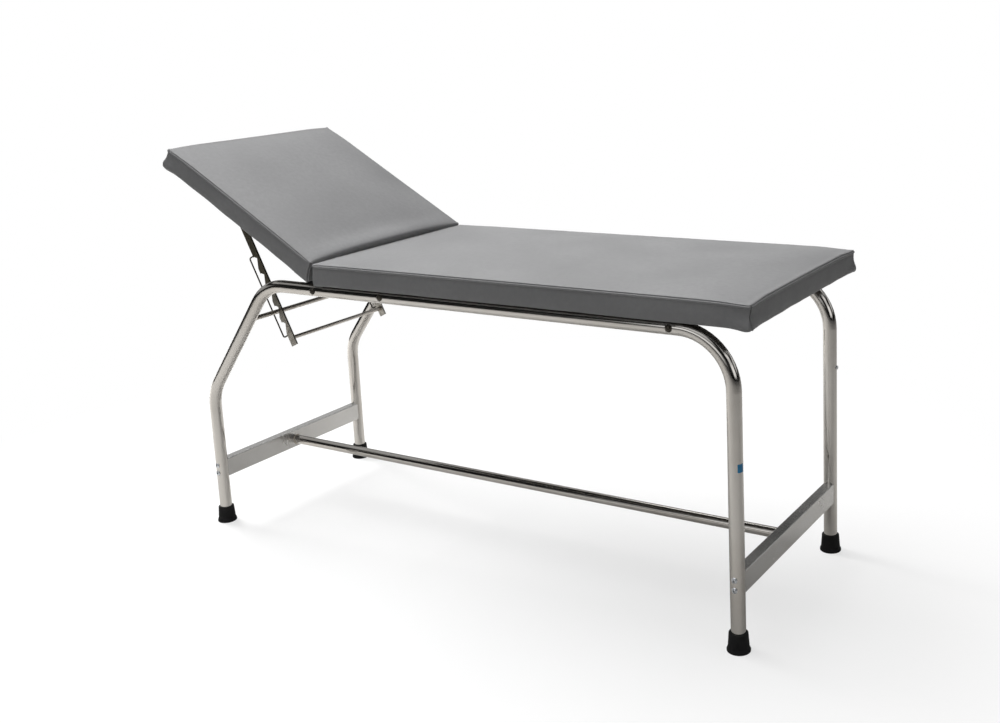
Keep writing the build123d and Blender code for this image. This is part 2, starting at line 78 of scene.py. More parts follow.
def farthest(node, direction, origin):
    """How far a CAD node reaches from the origin along a direction."""
    reach = [(vertex.co - origin).dot(direction) for vertex in nodes[node].data.vertices]
    return max(reach)


def nearest(node, direction, origin):
    """How close a CAD node comes to the origin along a direction."""
    return -farthest(node, -direction, origin)


backrest_reach = farthest("backrest_cushion", along_backrest, hinge)
backrest_underside = nearest("backrest_cushion", above_backrest, hinge)


# ---------------------------------------------------------------- material helpers
def new_material(name):
    """Adds a node material with a Principled shader to materials; returns (node tree, shader)."""
    material = bpy.data.materials.new(name)
    material.use_nodes = True
    materials[name] = material
    tree = material.node_tree
    return tree, tree.nodes["Principled BSDF"]


def object_coordinates(tree, scale=(1, 1, 1)):
    """The object's own coordinates in metres, stretched by scale."""
    place = tree.nodes.new("ShaderNodeTexCoord")
    mapping = tree.nodes.new("ShaderNodeMapping")
    mapping.inputs["Scale"].default_value = scale
    tree.links.new(place.outputs["Object"], mapping.inputs["Vector"])
    return mapping.outputs["Vector"]


def noise_texture(tree, vector, scale, detail=4.0, roughness=0.5):
    """The grey value of a noise texture."""
    texture = tree.nodes.new("ShaderNodeTexNoise")
    texture.inputs["Scale"].default_value = scale
    texture.inputs["Detail"].default_value = detail
    texture.inputs["Roughness"].default_value = roughness
    tree.links.new(vector, texture.inputs["Vector"])
    return texture.outputs["Fac"]


def remap(tree, value, low, high, to_low, to_high):
    """Stretches a grey value from low..high to to_low..to_high, clamped."""
    node = tree.nodes.new("ShaderNodeMapRange")
    node.inputs["From Min"].default_value = low
    node.inputs["From Max"].default_value = high
    node.inputs["To Min"].default_value = to_low
    node.inputs["To Max"].default_value = to_high
    tree.links.new(value, node.inputs["Value"])
    return node.outputs["Result"]


def mix_colour(tree, factor, first, second):
    """Mixes two colours by a grey value; each colour is a tuple or another node's output."""
    node = tree.nodes.new("ShaderNodeMix")
    node.data_type = "RGBA"
    tree.links.new(factor, node.inputs["Factor"])
    sockets = [socket for socket in node.inputs if socket.type == "RGBA"]
    for socket, colour in zip(sockets, (first, second)):
        if isinstance(colour, tuple):
            socket.default_value = (*colour, 1.0)
        else:
            tree.links.new(colour, socket)
    return [socket for socket in node.outputs if socket.type == "RGBA"][0]


def bump(tree, shader, heights):
    """Adds up bumps from (value, distance in metres, strength) onto the shader's normal."""
    normal = None
    for value, distance, strength in heights:
        node = tree.nodes.new("ShaderNodeBump")
        node.inputs["Distance"].default_value = distance
        node.inputs["Strength"].default_value = strength
        tree.links.new(value, node.inputs["Height"])
        if normal is not None:
            tree.links.new(normal, node.inputs["Normal"])
        normal = node.outputs["Normal"]
    tree.links.new(normal, shader.inputs["Normal"])


# ---------------------------------------------------------------- materials
def leatherette_material(name, base, worn):
    """Grey leatherette: pebble grain, faint sheen and slow changes of tone."""
    tree, shader = new_material(name)
    place = object_coordinates(tree)
    tone = noise_texture(tree, place, scale=5.0, detail=3.0)
    fine_tone = noise_texture(tree, place, scale=90.0)
    colour = mix_colour(tree, remap(tree, tone, 0.35, 0.65, 0.0, 1.0), base, worn)
    speckle = remap(tree, fine_tone, 0.3, 0.7, 0.0, 0.35)
    darker = tuple(channel * 0.8 for channel in base)
    tree.links.new(mix_colour(tree, speckle, colour, darker), shader.inputs["Base Color"])
    grain = tree.nodes.new("ShaderNodeTexVoronoi")
    grain.feature = "SMOOTH_F1"
    grain.inputs["Scale"].default_value = 900.0
    grain.inputs["Randomness"].default_value = 1.0
    tree.links.new(place, grain.inputs["Vector"])
    pebble = noise_texture(tree, place, scale=420.0, detail=3.0)
    crumple = noise_texture(tree, place, scale=24.0, detail=2.0)
    roughness = remap(tree, tone, 0.3, 0.7, 0.46, 0.56)
    tree.links.new(roughness, shader.inputs["Roughness"])
    shader.inputs["Specular IOR Level"].default_value = 0.42
    shader.inputs["Sheen Weight"].default_value = 0.12
    shader.inputs["Sheen Roughness"].default_value = 0.45
    bump(tree, shader, [
        (grain.outputs["Distance"], 0.18 * MM, 0.55),
        (pebble, 0.25 * MM, 0.35),
        (crumple, 1.2 * MM, 0.18),
    ])


def steel_material(
    name, colour, shade, roughness, streak_scale, streak=(1, 1, 1), scratch=0.04 * MM, metallic=1.0
):
    """Bare steel: smudged roughness, faint stains and fine lines drawn along one direction."""
    tree, shader = new_material(name)
    place = object_coordinates(tree)
    lines = noise_texture(tree, object_coordinates(tree, streak), streak_scale, 5.0, 0.6)
    smudge = noise_texture(tree, place, scale=14.0)
    stain = noise_texture(tree, place, scale=4.0, detail=5.0, roughness=0.6)
    factor = remap(tree, stain, 0.45, 0.75, 0.0, 1.0)
    tree.links.new(mix_colour(tree, factor, colour, shade), shader.inputs["Base Color"])
    tree.links.new(remap(tree, smudge, 0.3, 0.7, *roughness), shader.inputs["Roughness"])
    shader.inputs["Metallic"].default_value = metallic
    bump(tree, shader, [(lines, scratch, 0.6)])
    return tree, shader


def shade_crevices(tree, shader, reach):
    """Paints shade into the base colour: darkens it in hollows narrower than the reach, in metres."""
    painted_shade_colour = (0.006, 0.007, 0.01)
    open_share = tree.nodes.new("ShaderNodeAmbientOcclusion")
    open_share.inputs["Distance"].default_value = reach
    open_share.samples = 8
    colour = shader.inputs["Base Color"].links[0].from_socket
    factor = remap(tree, open_share.outputs["AO"], 0.35, 0.85, 1.0, 0.0)
    tree.links.new(mix_colour(tree, factor, colour, painted_shade_colour), shader.inputs["Base Color"])


def zinc_material(name):
    """Zinc-plated steel with painted shade in its hollows, so that the sockets of small screws can be read.
    """
    tree, shader = steel_material(
        name, colour=(0.82, 0.85, 0.89), shade=(0.72, 0.74, 0.78), roughness=(0.24, 0.34), streak_scale=500.0
    )
    # painted shade in the screw sockets and other narrow hollows
    shade_crevices(tree, shader, reach=2.5 * MM)


def graded_steel_material(name, upper, lower, heights, roughness):
    """Bar steel with a painted reflection: dark towards its upper end and brighter towards its lower end,
    with mottled grime.
    """
    tree, shader = new_material(name)
    place = object_coordinates(tree)
    split = tree.nodes.new("ShaderNodeSeparateXYZ")
    tree.links.new(place, split.inputs["Vector"])
    # painted reflection: the colour goes from light at the bar's lower end to dark at its upper end
    painted_reflection_share = remap(tree, split.outputs["Z"], *heights, 0.0, 1.0)
    colour = mix_colour(tree, painted_reflection_share, lower, upper)
    smudge = noise_texture(tree, place, scale=30.0, detail=5.0, roughness=0.6)
    grime = remap(tree, smudge, 0.45, 0.75, 0.0, 0.6)
    darker = tuple(channel * 0.6 for channel in upper)
    tree.links.new(mix_colour(tree, grime, colour, darker), shader.inputs["Base Color"])
    tree.links.new(remap(tree, smudge, 0.3, 0.7, *roughness), shader.inputs["Roughness"])
    shader.inputs["Metallic"].default_value = 1.0
    bump(tree, shader, [(noise_texture(tree, place, scale=220.0), 0.04 * MM, 0.6)])


def coated_material(name, colour, shade, roughness, grain_scale, grain_depth, metallic=0.0):
    """Paint, rubber or plastic: an even colour with slight dust, mottling and surface texture."""
    tree, shader = new_material(name)
    place = object_coordinates(tree)
    mottle = noise_texture(tree, place, scale=30.0)
    dust = remap(tree, mottle, 0.4, 0.7, 0.0, 1.0)
    tree.links.new(mix_colour(tree, dust, colour, shade), shader.inputs["Base Color"])
    tree.links.new(remap(tree, mottle, 0.3, 0.7, *roughness), shader.inputs["Roughness"])
    shader.inputs["Metallic"].default_value = metallic
    grain = noise_texture(tree, place, grain_scale, detail=3.0)
    bump(tree, shader, [(grain, grain_depth, 0.5)])


def plywood_material(name):
    """Black-stained plywood: long grain on the faces, thin layers on the edges."""
    dark_grain = (0.018, 0.016, 0.014)
    light_grain = (0.035, 0.03, 0.026)
    edge_colour = (0.05, 0.04, 0.032)
    tree, shader = new_material(name)
    grain = noise_texture(tree, object_coordinates(tree, (3, 60, 60)), 3.0, 6.0, 0.6)
    layers = tree.nodes.new("ShaderNodeTexWave")
    layers.wave_type = "BANDS"
    layers.bands_direction = "Z"
    layers.inputs["Scale"].default_value = 120.0
    layers.inputs["Distortion"].default_value = 0.6
    tree.links.new(object_coordinates(tree), layers.inputs["Vector"])
    wood = mix_colour(tree, remap(tree, grain, 0.3, 0.7, 0.0, 1.0), dark_grain, light_grain)
    edge = remap(tree, layers.outputs["Fac"], 0.0, 1.0, 0.0, 0.35)
    tree.links.new(mix_colour(tree, edge, wood, edge_colour), shader.inputs["Base Color"])
    shader.inputs["Roughness"].default_value = 0.62
    bump(tree, shader, [(grain, 0.3 * MM, 0.4)])


leatherette_material("leatherette", base=(0.232, 0.232, 0.236), worn=(0.262, 0.262, 0.266))
plywood_material("plywood")
steel_material(
    "polished_steel",
    colour=(0.66, 0.64, 0.61),
    shade=(0.57, 0.54, 0.5),
    roughness=(0.06, 0.15),
    streak_scale=160.0,
    scratch=0.01 * MM,
)
steel_material(
    "satin_steel",
    colour=(0.72, 0.715, 0.7),
    shade=(0.66, 0.65, 0.63),
    roughness=(0.2, 0.28),
    streak_scale=12.0,
    streak=(60, 2, 60),
    metallic=0.8,
)
# ratchet_steel has a painted reflection: dark on the upper part of the bars, light at their lower end
graded_steel_material(
    "ratchet_steel",
    upper=(0.1, 0.092, 0.07),
    lower=(0.5, 0.48, 0.44),
    heights=(0.5, 0.66),
    roughness=(0.3, 0.45),
)
steel_material(
    "rod_steel",
    colour=(0.62, 0.59, 0.55),
    shade=(0.5, 0.46, 0.41),
    roughness=(0.26, 0.38),
    streak_scale=260.0,
)
steel_material(
    "wire_steel",
    colour=(0.11, 0.1, 0.085),
    shade=(0.06, 0.055, 0.045),
    roughness=(0.35, 0.5),
    streak_scale=300.0,
)
zinc_material("zinc_steel")
coated_material(
    "dark_steel",
    colour=(0.045, 0.04, 0.035),
    shade=(0.075, 0.065, 0.05),
    roughness=(0.25, 0.4),
    grain_scale=700.0,
    grain_depth=0.03 * MM,
    metallic=0.6,
)
coated_material(
    "painted_steel",
    colour=(0.02, 0.02, 0.021),
    shade=(0.03, 0.03, 0.03),
    roughness=(0.4, 0.52),
    grain_scale=900.0,
    grain_depth=0.08 * MM,
)
coated_material(
    "black_rubber",
    colour=(0.0008, 0.0008, 0.001),
    shade=(0.003, 0.003, 0.0035),
    roughness=(0.75, 0.9),
    grain_scale=1300.0,
    grain_depth=0.12 * MM,
)
coated_material(
    "black_plastic",
    colour=(0.02, 0.02, 0.02),
    shade=(0.03, 0.03, 0.03),
    roughness=(0.35, 0.45),
    grain_scale=800.0,
    grain_depth=0.04 * MM,
)
coated_material(
    "blue_film",
    colour=(0.02, 0.2, 0.42),
    shade=(0.03, 0.26, 0.52),
    roughness=(0.3, 0.4),
    grain_scale=300.0,
    grain_depth=0.05 * MM,
)
coated_material(
    "thread",
    colour=(0.2, 0.2, 0.205),
    shade=(0.26, 0.26, 0.265),
    roughness=(0.6, 0.8),
    grain_scale=4000.0,
    grain_depth=0.1 * MM,
)
steel_material(
    "weld_steel",
    colour=(0.6, 0.56, 0.5),
    shade=(0.42, 0.36, 0.28),
    roughness=(0.25, 0.45),
    streak_scale=600.0,
    scratch=0.2 * MM,
)

special_looks = {
    "guard_wire_near": "wire_steel",
    "guard_wire_far": "wire_steel",
    "rest_rod": "rod_steel",
    "tie_rod": "rod_steel",
}
for node_name, cad_object in nodes.items():
    cad_slot = cad_object.data.materials[0].name
    look = special_looks.get(node_name, cad_slot)
    cad_object.data.materials[0] = materials[look]


# ---------------------------------------------------------------- mesh helpers
def mesh_object(name, vertices, faces, material, smooth=True):
    """An object from vertex positions and faces, with its normals pointing outwards."""
    mesh = bpy.data.meshes.new(name)
    mesh.from_pydata([tuple(point) for point in vertices], [], faces)
    mesh.materials.append(materials[material])
    build = bmesh.new()
    build.from_mesh(mesh)
    bmesh.ops.recalc_face_normals(build, faces=build.faces)
    build.to_mesh(mesh)
    build.free()
    for polygon in mesh.polygons:
        polygon.use_smooth = smooth
    piece = bpy.data.objects.new(name, mesh)
    bpy.context.scene.collection.objects.link(piece)
    return piece


def apply_modifiers(piece):
    """Bakes the piece's modifiers into its mesh."""
    graph = bpy.context.evaluated_depsgraph_get()
    baked = bpy.data.meshes.new_from_object(piece.evaluated_get(graph))
    old = piece.data
    piece.modifiers.clear()
    piece.data = baked
    bpy.data.meshes.remove(old)


def positions(mesh):
    """The mesh's vertex positions as an array."""
    flat = np.zeros(len(mesh.vertices) * 3)
    mesh.vertices.foreach_get("co", flat)
    return flat.reshape(-1, 3)


def set_positions(mesh, points):
    """Moves the mesh's vertices to an array of positions."""
    mesh.vertices.foreach_set("co", np.asarray(points, float).ravel())
    mesh.update()


def vertex_normals(mesh):
    """The mesh's vertex normals as an array."""
    flat = np.zeros(len(mesh.vertices) * 3)
    mesh.vertex_normals.foreach_get("vector", flat)
    return flat.reshape(-1, 3)


def ramp(value, start, end):
    """A smooth step from 0 at start to 1 at end."""
    share = np.clip((value - start) / (end - start), 0, 1)
    return share * share * (3 - 2 * share)


def hill(value, width):
    """A bell of height 1 about zero."""
    return np.exp(-((value / width) ** 2))


def noise_along(values, scale, seed):
    """Smooth repeatable noise, about -0.5 to 0.5, for an array of lengths."""
    return np.array([noise.noise(Vector((float(value) / scale, seed, 0.0))) for value in values])


def noise_over(points, scale, seed):
    """Smooth repeatable noise for an array of points."""
    return np.array([noise.noise(Vector((x / scale, y / scale, z / scale + seed))) for x, y, z in points])


# ---------------------------------------------------------------- pads
# Grid places in millimetres: in from each edge, and up a 56 mm pad
EDGE_STEPS = [0, 1.5, 3, 5, 7.5, 10.5, 14, 19, 26, 35, 46, 58]
HEIGHT_STEPS = [0, 1.5, 3.5, 6.5, 11, 17, 24, 31, 37.5, 42.5, 45.5, 46.8, 48, 50, 51.6, 52.6, 53.6, 54.8, 56]
SPAN_STEP = 11.5
TINY = 1e-9

ROUNDING = 5.5 * MM
SWELL_CAP = 5.0 * MM
STITCH_HEIGHT = 48.0 * MM
STITCH_LENGTH = 3.4 * MM
STITCH_GAP = 1.5 * MM
STITCH_CLEAR_END = 6 * MM
THREAD = 0.75 * MM


def stations(length):
    """Grid places along a side: close together at both ends, even in between."""
    edge = [step * MM for step in EDGE_STEPS]
    inner = length - 2 * edge[-1]
    count = max(2, round(inner / (SPAN_STEP * MM)))
    middle = [edge[-1] + inner * number / count for number in range(1, count)]
    return edge + middle + [length - step for step in reversed(edge)]


def pad_lattice(length, width, thickness):
    """The surface grid of a box: vertex positions (x from 0 to length, y centred, z from 0) and quads."""
    xs = stations(length)
    ys = [y - width / 2 for y in stations(width)]
    zs = [step / HEIGHT_STEPS[-1] * thickness for step in HEIGHT_STEPS]
    last = (len(xs) - 1, len(ys) - 1, len(zs) - 1)
    index = {}
    points = []
    faces = []

    def vertex(i, j, k):
        if (i, j, k) not in index:
            index[i, j, k] = len(points)
            points.append((xs[i], ys[j], zs[k]))
        return index[i, j, k]

    for fixed in range(3):
        across, up = [axis for axis in range(3) if axis != fixed]
        for level in (0, last[fixed]):
            for column in range(last[across]):
                for row in range(last[up]):
                    corners = []
                    for right, above in ((0, 0), (1, 0), (1, 1), (0, 1)):
                        key = [level] * 3
                        key[across] = column + right
                        key[up] = row + above
                        corners.append(vertex(*key))
                    faces.append(corners)
    return np.array(points), faces


class Pad:
    """A box cushion in its own flat frame: x from the hinge end, y across, z up from its underside."""

    def __init__(self, name, length, width, thickness, seed):
        """Makes the grid and measures where each vertex lies on the pad; seed sets its waves."""
        self.name = name
        self.length = length
        self.width = width
        self.thickness = thickness
        self.seed = seed
        self.rest, self.faces = pad_lattice(length, width, thickness)
        x, y, z = self.rest.T
        self.to_hinge = x
        self.to_head = length - x
        self.to_near = y + width / 2
        self.to_far = width / 2 - y
        self.depth = np.minimum.reduce([self.to_hinge, self.to_head, self.to_near, self.to_far])
        self.end_depth = np.minimum(self.to_hinge, self.to_head)
        self.side_depth = np.minimum(self.to_near, self.to_far)
        self.corner = np.hypot(self.end_depth, self.side_depth)
        self.past_joint = ramp(self.to_hinge, 30 * MM, 120 * MM)
        self.high = z / thickness
        self.on_side = self.depth < TINY
        self.on_top = z > thickness - TINY
        self.on_bottom = z < TINY

    def rounded(self):
        """The grid with its edges and corners rounded."""
        low = np.array([0, -self.width / 2, 0]) + ROUNDING
        high = np.array([self.length, self.width / 2, self.thickness]) - ROUNDING
        inner = np.clip(self.rest, low, high)
        away = self.rest - inner
        length = np.linalg.norm(away, axis=1)
        reach = np.abs(away).max(axis=1)
        scale = np.divide(reach, length, out=np.ones_like(reach), where=length > TINY)
        return inner + away * scale[:, None]

    def crowned(self, points):
        """Top raised in the middle and dropped at the corners, sides pulled in between the corners."""
        crown = 4.0 * MM
        joint_drop = 1.0 * MM
        corner_drop = 4.0 * MM
        bow = 2.2 * MM
        points = points.copy()
        across = np.sin(np.pi * np.clip(self.side_depth / (self.width / 2), 0, 1) / 2)
        near_side = ramp(self.side_depth, 0, 90 * MM)
        lift = crown * (0.4 * across + 0.6 * near_side) * ramp(self.end_depth, 0, 140 * MM)
        fall = joint_drop + (corner_drop - joint_drop) * self.past_joint
        points[:, 2] += self.high ** 2 * (lift - fall * hill(self.corner, 55 * MM))
        x_share = 2 * points[:, 0] / self.length - 1
        y_share = 2 * points[:, 1] / self.width
        outer = np.maximum(x_share, 0)
        points[:, 0] -= bow * outer ** 3 * (1 - y_share ** 2)
        points[:, 1] -= np.sign(y_share) * bow * np.abs(y_share) ** 3 * (1 - x_share ** 2)
        return points

    def held_share(self):
        """How firmly each vertex is held in the cloth run: the seams, the corners and the underside."""
        panel_hold = 0.35
        seam_zone = 1 - ramp(self.depth, 5 * MM, 30 * MM)
        on_panel = self.on_side & (self.high > 0.1) & (self.high < 0.8)
        panel = np.where(on_panel, panel_hold, seam_zone)
        weight = np.where(self.on_bottom, 1.0, np.where(self.on_top, seam_zone, panel))
        return np.maximum(weight, self.on_side * hill(self.corner, 12 * MM))

    def simulate(self, piece):
        """Swells the cover between its seams with a short cloth run, capped, and bakes it."""
        hold_levels = 10
        frames = 20
        hold = piece.vertex_groups.new(name="hold")
        weight = self.held_share()
        for level in range(hold_levels + 1):
            members = np.flatnonzero(np.round(weight * hold_levels) == level)
            hold.add([int(member) for member in members], level / hold_levels, "REPLACE")
        before = positions(piece.data)
        cloth = piece.modifiers.new("cloth", "CLOTH")
        cloth.settings.quality = 4
        cloth.settings.mass = 0.4
        cloth.settings.use_pressure = True
        cloth.settings.uniform_pressure_force = 4.0
        cloth.settings.effector_weights.gravity = 0.0
        cloth.settings.vertex_group_mass = hold.name
        cloth.settings.tension_stiffness = 30.0
        cloth.settings.compression_stiffness = 30.0
        cloth.settings.bending_stiffness = 4.0
        cloth.collision_settings.use_self_collision = False
        cloth.point_cache.frame_start = 1
        cloth.point_cache.frame_end = frames
        for number in range(1, frames + 1):
            bpy.context.scene.frame_set(number)
        graph = bpy.context.evaluated_depsgraph_get()
        swollen = positions(piece.evaluated_get(graph).data).copy()
        piece.modifiers.clear()
        bpy.context.scene.frame_set(1)
        move = swollen - before
        size = np.linalg.norm(move, axis=1)
        capped = SWELL_CAP * np.tanh(size / SWELL_CAP)
        share = np.divide(capped, size, out=np.zeros_like(size), where=size > TINY)
        set_positions(piece.data, before + move * share[:, None])

    def perimeter(self):
        """Distance of each vertex round the pad, measured along its sides."""
        x = self.rest[:, 0]
        y = self.rest[:, 1]
        near = self.to_near <= np.minimum(self.end_depth, self.to_far)
        far = self.to_far <= np.minimum(self.end_depth, self.to_near)
        head = self.to_head <= np.minimum(self.to_hinge, self.side_depth)
        along = np.where(near, x, self.length + self.width + (self.length - x))
        along = np.where(~near & ~far, 2 * self.length + self.width + (self.width / 2 - y), along)
        return np.where(~near & ~far & head, self.length + self.width / 2 + y, along)

    def seam_relief(self):
        """Outward relief below the top edge: the seam's groove and the raised band of the hem."""
        seam_height = 52.6 * MM
        band_top = 51.4 * MM
        band_bottom = 46.6 * MM
        groove_depth = 2.0 * MM
        band_relief = 1.2 * MM
        under_depth = 0.9 * MM
        z = self.rest[:, 2]
        groove = -groove_depth * hill(z - seam_height, 0.9 * MM)
        band = band_relief * ramp(z, band_bottom - 0.3 * MM, band_bottom + 0.8 * MM)
        band *= 1 - ramp(z, band_top, seam_height)
        under = -under_depth * hill(z - (band_bottom - 1.2 * MM), 1.1 * MM)
        return groove + band + under

    def side_relief(self, outer, wobble, ripple):
        """Outward relief of the sides: a waist and a lip at each corner, a fuller body, slow waves."""
        waist_depth = 2.6 * MM
        lip_relief = 4.0 * MM
        body_relief = 1.3 * MM
        wobble_size = 1.5 * MM
        ripple_size = 0.5 * MM
        waist = -waist_depth * outer * hill(self.corner, 38 * MM) * hill(self.high - 0.55, 0.25)
        lip = lip_relief * outer * hill(self.corner, 45 * MM) * hill(self.high - 0.17, 0.17)
        body = body_relief * hill(self.high - 0.38, 0.3)
        waves = wobble_size * wobble * hill(self.high - 0.35, 0.4) + ripple_size * ripple * self.high
        return waist + lip + body + waves

    def corner_crease(self):
        """Outward relief of the corner seams: a narrow crease with a low ridge beside it."""
        crease_depth = 4.5 * MM
        ridge_relief = 0.8 * MM
        crease = -crease_depth * hill(self.corner, 1.2 * MM)
        ridge = ridge_relief * hill(self.corner - 3.4 * MM, 1.6 * MM)
        return (crease + ridge) * (1 - ramp(self.high, 0.93, 1.0))

    def top_waves(self, round_pad, has_seam):
        """Rise of the top: small puckers along its seam and broad shallow waves in the middle."""
        pucker_size = 0.7 * MM
        wave_size = 1.6 * MM
        edge = (1 - ramp(self.depth, 3 * MM, 24 * MM)) * self.on_top
        pucker = noise_along(round_pad, 8.5 * MM, self.seed + 3.1)
        puckers = edge * pucker_size * (0.35 + pucker) * has_seam * ramp(self.depth, 0, 5 * MM)
        broad = noise_over(self.rest, 170 * MM, self.seed)
        return self.on_top * wave_size * broad * ramp(self.depth, 10 * MM, 80 * MM) - puckers

    def underside_rise(self, outer, wobble):
        """Rise of the underside: its rim sags, and its middle is recessed for the board."""
        corner_sag = 6.0 * MM
        wave_sag = 0.8 * MM
        corner_tuck = 4.5 * MM
        recess = 0.45 * board_thickness
        low = 1 - ramp(self.high, 0.0, 0.45)
        rim = 1 - ramp(self.depth, 0, board_inset)
        near_corner = hill(self.side_depth, 8 * MM) * hill(self.end_depth, 34 * MM)
        sag = corner_sag * near_corner * outer + wave_sag * wobble
        tuck = corner_tuck * hill(self.corner, 9 * MM) * outer
        inside = ramp(self.depth, board_inset - 1 * MM, board_inset + 1.5 * MM) * self.on_bottom
        return inside * recess - low * rim * (sag - tuck)

    def sewn(self, points, normals, seam_at_hinge):
        """The pad with its sewn detail: seams, band, lips, creases, puckers, waves and corner ears."""
        ear_size = 1.1 * MM
        ear_rise = 0.9 * MM
        twist_size = 1.6 * MM
        round_pad = self.perimeter()
        wobble = noise_along(round_pad, 55 * MM, self.seed)
        ripple = noise_along(round_pad, 21 * MM, self.seed + 7.3)
        has_seam = 1.0 if seam_at_hinge else ramp(self.to_hinge, 2 * MM, 30 * MM)
        outer = 0.25 + 0.75 * self.past_joint
        relief = has_seam * self.seam_relief() + self.side_relief(outer, wobble, ripple)
        relief = self.on_side * (relief + self.corner_crease())
        moved = points + normals * relief[:, None]
        moved[:, 2] += self.top_waves(round_pad, has_seam) + self.underside_rise(outer, wobble)

        ear = hill(self.corner, 4.2 * MM) * ramp(self.high, 0.86, 0.95)
        moved += normals * (ear_size * ear)[:, None]
        moved[:, 2] += ear_rise * ear

        twist = twist_size * np.sin(self.high * 7.0 + self.seed) * hill(self.corner, 9 * MM) * self.on_side
        tangent = np.stack([-normals[:, 1], normals[:, 0], np.zeros(len(normals))], axis=1)
        return moved + tangent * twist[:, None]


def stitch_mesh(path, normals):
    """Short rounded thread stitches laid along a path of points."""
    sides = 6
    rings = ((0.0, 0.35), (0.12, 0.9), (0.5, 1.0), (0.88, 0.9), (1.0, 0.35))
    vertices = []
    faces = []
    lengths = np.concatenate([[0], np.cumsum(np.linalg.norm(np.diff(path, axis=0), axis=1))])

    def along_path(values, distance):
        return np.array([np.interp(distance, lengths, values[:, axis]) for axis in range(3)])

    for number in range(int(lengths[-1] / (STITCH_LENGTH + STITCH_GAP))):
        start = number * (STITCH_LENGTH + STITCH_GAP)
        first = along_path(path, start)
        span = along_path(path, start + STITCH_LENGTH) - first
        outward = along_path(normals, start + STITCH_LENGTH / 2)
        along = span / max(np.linalg.norm(span), TINY)
        outward -= along * outward.dot(along)
        outward /= max(np.linalg.norm(outward), TINY)
        sideways = np.cross(along, outward)
        base = len(vertices)
        for share, fatness in rings:
            sink = (1 - math.sin(math.pi * share)) * THREAD * 0.8
            radius = THREAD / 2 * fatness
            for side in range(sides):
                angle = 2 * math.pi * side / sides
                offset = sideways * math.cos(angle) * radius + outward * math.sin(angle) * radius
                vertices.append(first + span * share + offset - outward * sink)
        for ring in range(len(rings) - 1):
            for side in range(sides):
                this = base + ring * sides + side
                after = base + ring * sides + (side + 1) % sides
                faces.append((this, after, after + sides, this + sides))
        faces.append(tuple(base + side for side in range(sides)))
        faces.append(tuple(base + (len(rings) - 1) * sides + side for side in range(sides)))
    return vertices, faces


def make_pad(pad, place, seam_at_hinge, finish_shape=None):
    """Builds one pad: grid, crown, cloth swelling, sewn detail, placing, then its stitching."""
    piece = mesh_object(pad.name, pad.crowned(pad.rounded()), pad.faces, "leatherette")
    pad.simulate(piece)
    points = pad.sewn(positions(piece.data), vertex_normals(piece.data), seam_at_hinge)
    if finish_shape is not None:
        points = finish_shape(pad, points)
    set_positions(piece.data, place(points))
    smooth_detail = piece.modifiers.new("detail", "SUBSURF")
    smooth_detail.levels = 1
    smooth_detail.render_levels = 1

    normals = vertex_normals(piece.data)
    placed = positions(piece.data)
    at_stitches = np.abs(pad.rest[:, 2] - STITCH_HEIGHT) < MM / 1000
    chosen = np.flatnonzero(pad.on_side & at_stitches)
    order = chosen[np.argsort(pad.perimeter()[chosen])]
    sewn_sides = [pad.to_near, pad.to_head, pad.to_far]
    if seam_at_hinge:
        sewn_sides.append(pad.to_hinge)
    vertices = []
    faces = []
    clear_of_corners = pad.corner > STITCH_CLEAR_END
    for distance in sewn_sides:
        run = [vertex for vertex in order if distance[vertex] < TINY and clear_of_corners[vertex]]
        made, quads = stitch_mesh(placed[run], normals[run])
        faces += [tuple(number + len(vertices) for number in quad) for quad in quads]
        vertices += made
    stitching = mesh_object(pad.name + "_stitching", vertices, faces, "thread")
    apply_modifiers(piece)
    return piece, stitching


# Seat pad
def place_seat(points):
    """From the pad's flat frame to its place on the seat board."""
    return points + np.array([joint_line, 0, seat_low.z])


seat = Pad("seat_pad", seat_high.x - joint_line, 2 * half_width, pad_thickness, seed=1.7)
seat_pad, seat_stitching = make_pad(seat, place_seat, seam_at_hinge=True)
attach(seat_pad, "frame")
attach(seat_stitching, "frame")
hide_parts("seat_cushion")

# Backrest pad: pressed against the seat pad at the hinge, where its cover rolls over
PAD_GAP = 1.2 * MM
END_BOTTOM = 17.0 * MM
LEAN_REACH = 200 * MM
ROLL_HEIGHT = 12.5 * MM
ROLL_PEAK = 16.0 * MM
ROLL_OVERHANG = 6.0 * MM
ROLL_SIDE_GAP = 4 * MM
joint_offset = joint_line - PAD_GAP - hinge.x
end_top = (backrest_underside + pad_thickness) * math.tan(raised) - joint_offset / math.cos(raised)


def press_backrest_end(pad, points):
    """Leans the hinge end to stand upright against the seat pad and adds the roll of the cover."""
    points = points.copy()
    up_share = np.clip(points[:, 2] / pad.thickness, 0, 1)
    points[:, 0] += (end_top - END_BOTTOM) * up_share * (1 - ramp(pad.to_hinge, 0, LEAN_REACH))
    side_share = points[:, 1] / (pad.width / 2 - ROLL_SIDE_GAP)
    across = np.clip(1 - side_share ** 2, 0, 1) ** 0.75
    from_joint = np.maximum(pad.to_hinge, 0)
    swell = (from_joint / ROLL_PEAK) * np.exp(1 - from_joint / ROLL_PEAK)
    front = hill(from_joint - 0.8 * ROLL_PEAK, 0.6 * ROLL_PEAK)
    points[:, 2] += ROLL_HEIGHT * across * swell * pad.on_top
    points[:, 0] -= ROLL_OVERHANG * across * front * pad.on_top
    return points


def place_backrest(points):
    """From the pad's flat frame to the raised backrest."""
    along = np.array(along_backrest)
    above = np.array(above_backrest)
    distance = points[:, 0] + END_BOTTOM
    height = points[:, 2] + backrest_underside
    placed = np.array(hinge) + distance[:, None] * along + height[:, None] * above
    placed[:, 1] = points[:, 1]
    return placed


backrest = Pad("backrest_pad", backrest_reach - END_BOTTOM, 2 * half_width, pad_thickness, seed=4.4)
backrest_pad, backrest_stitching = make_pad(backrest, place_backrest, False, press_backrest_end)
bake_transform(backrest_pad)
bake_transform(backrest_stitching)
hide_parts("backrest_cushion")


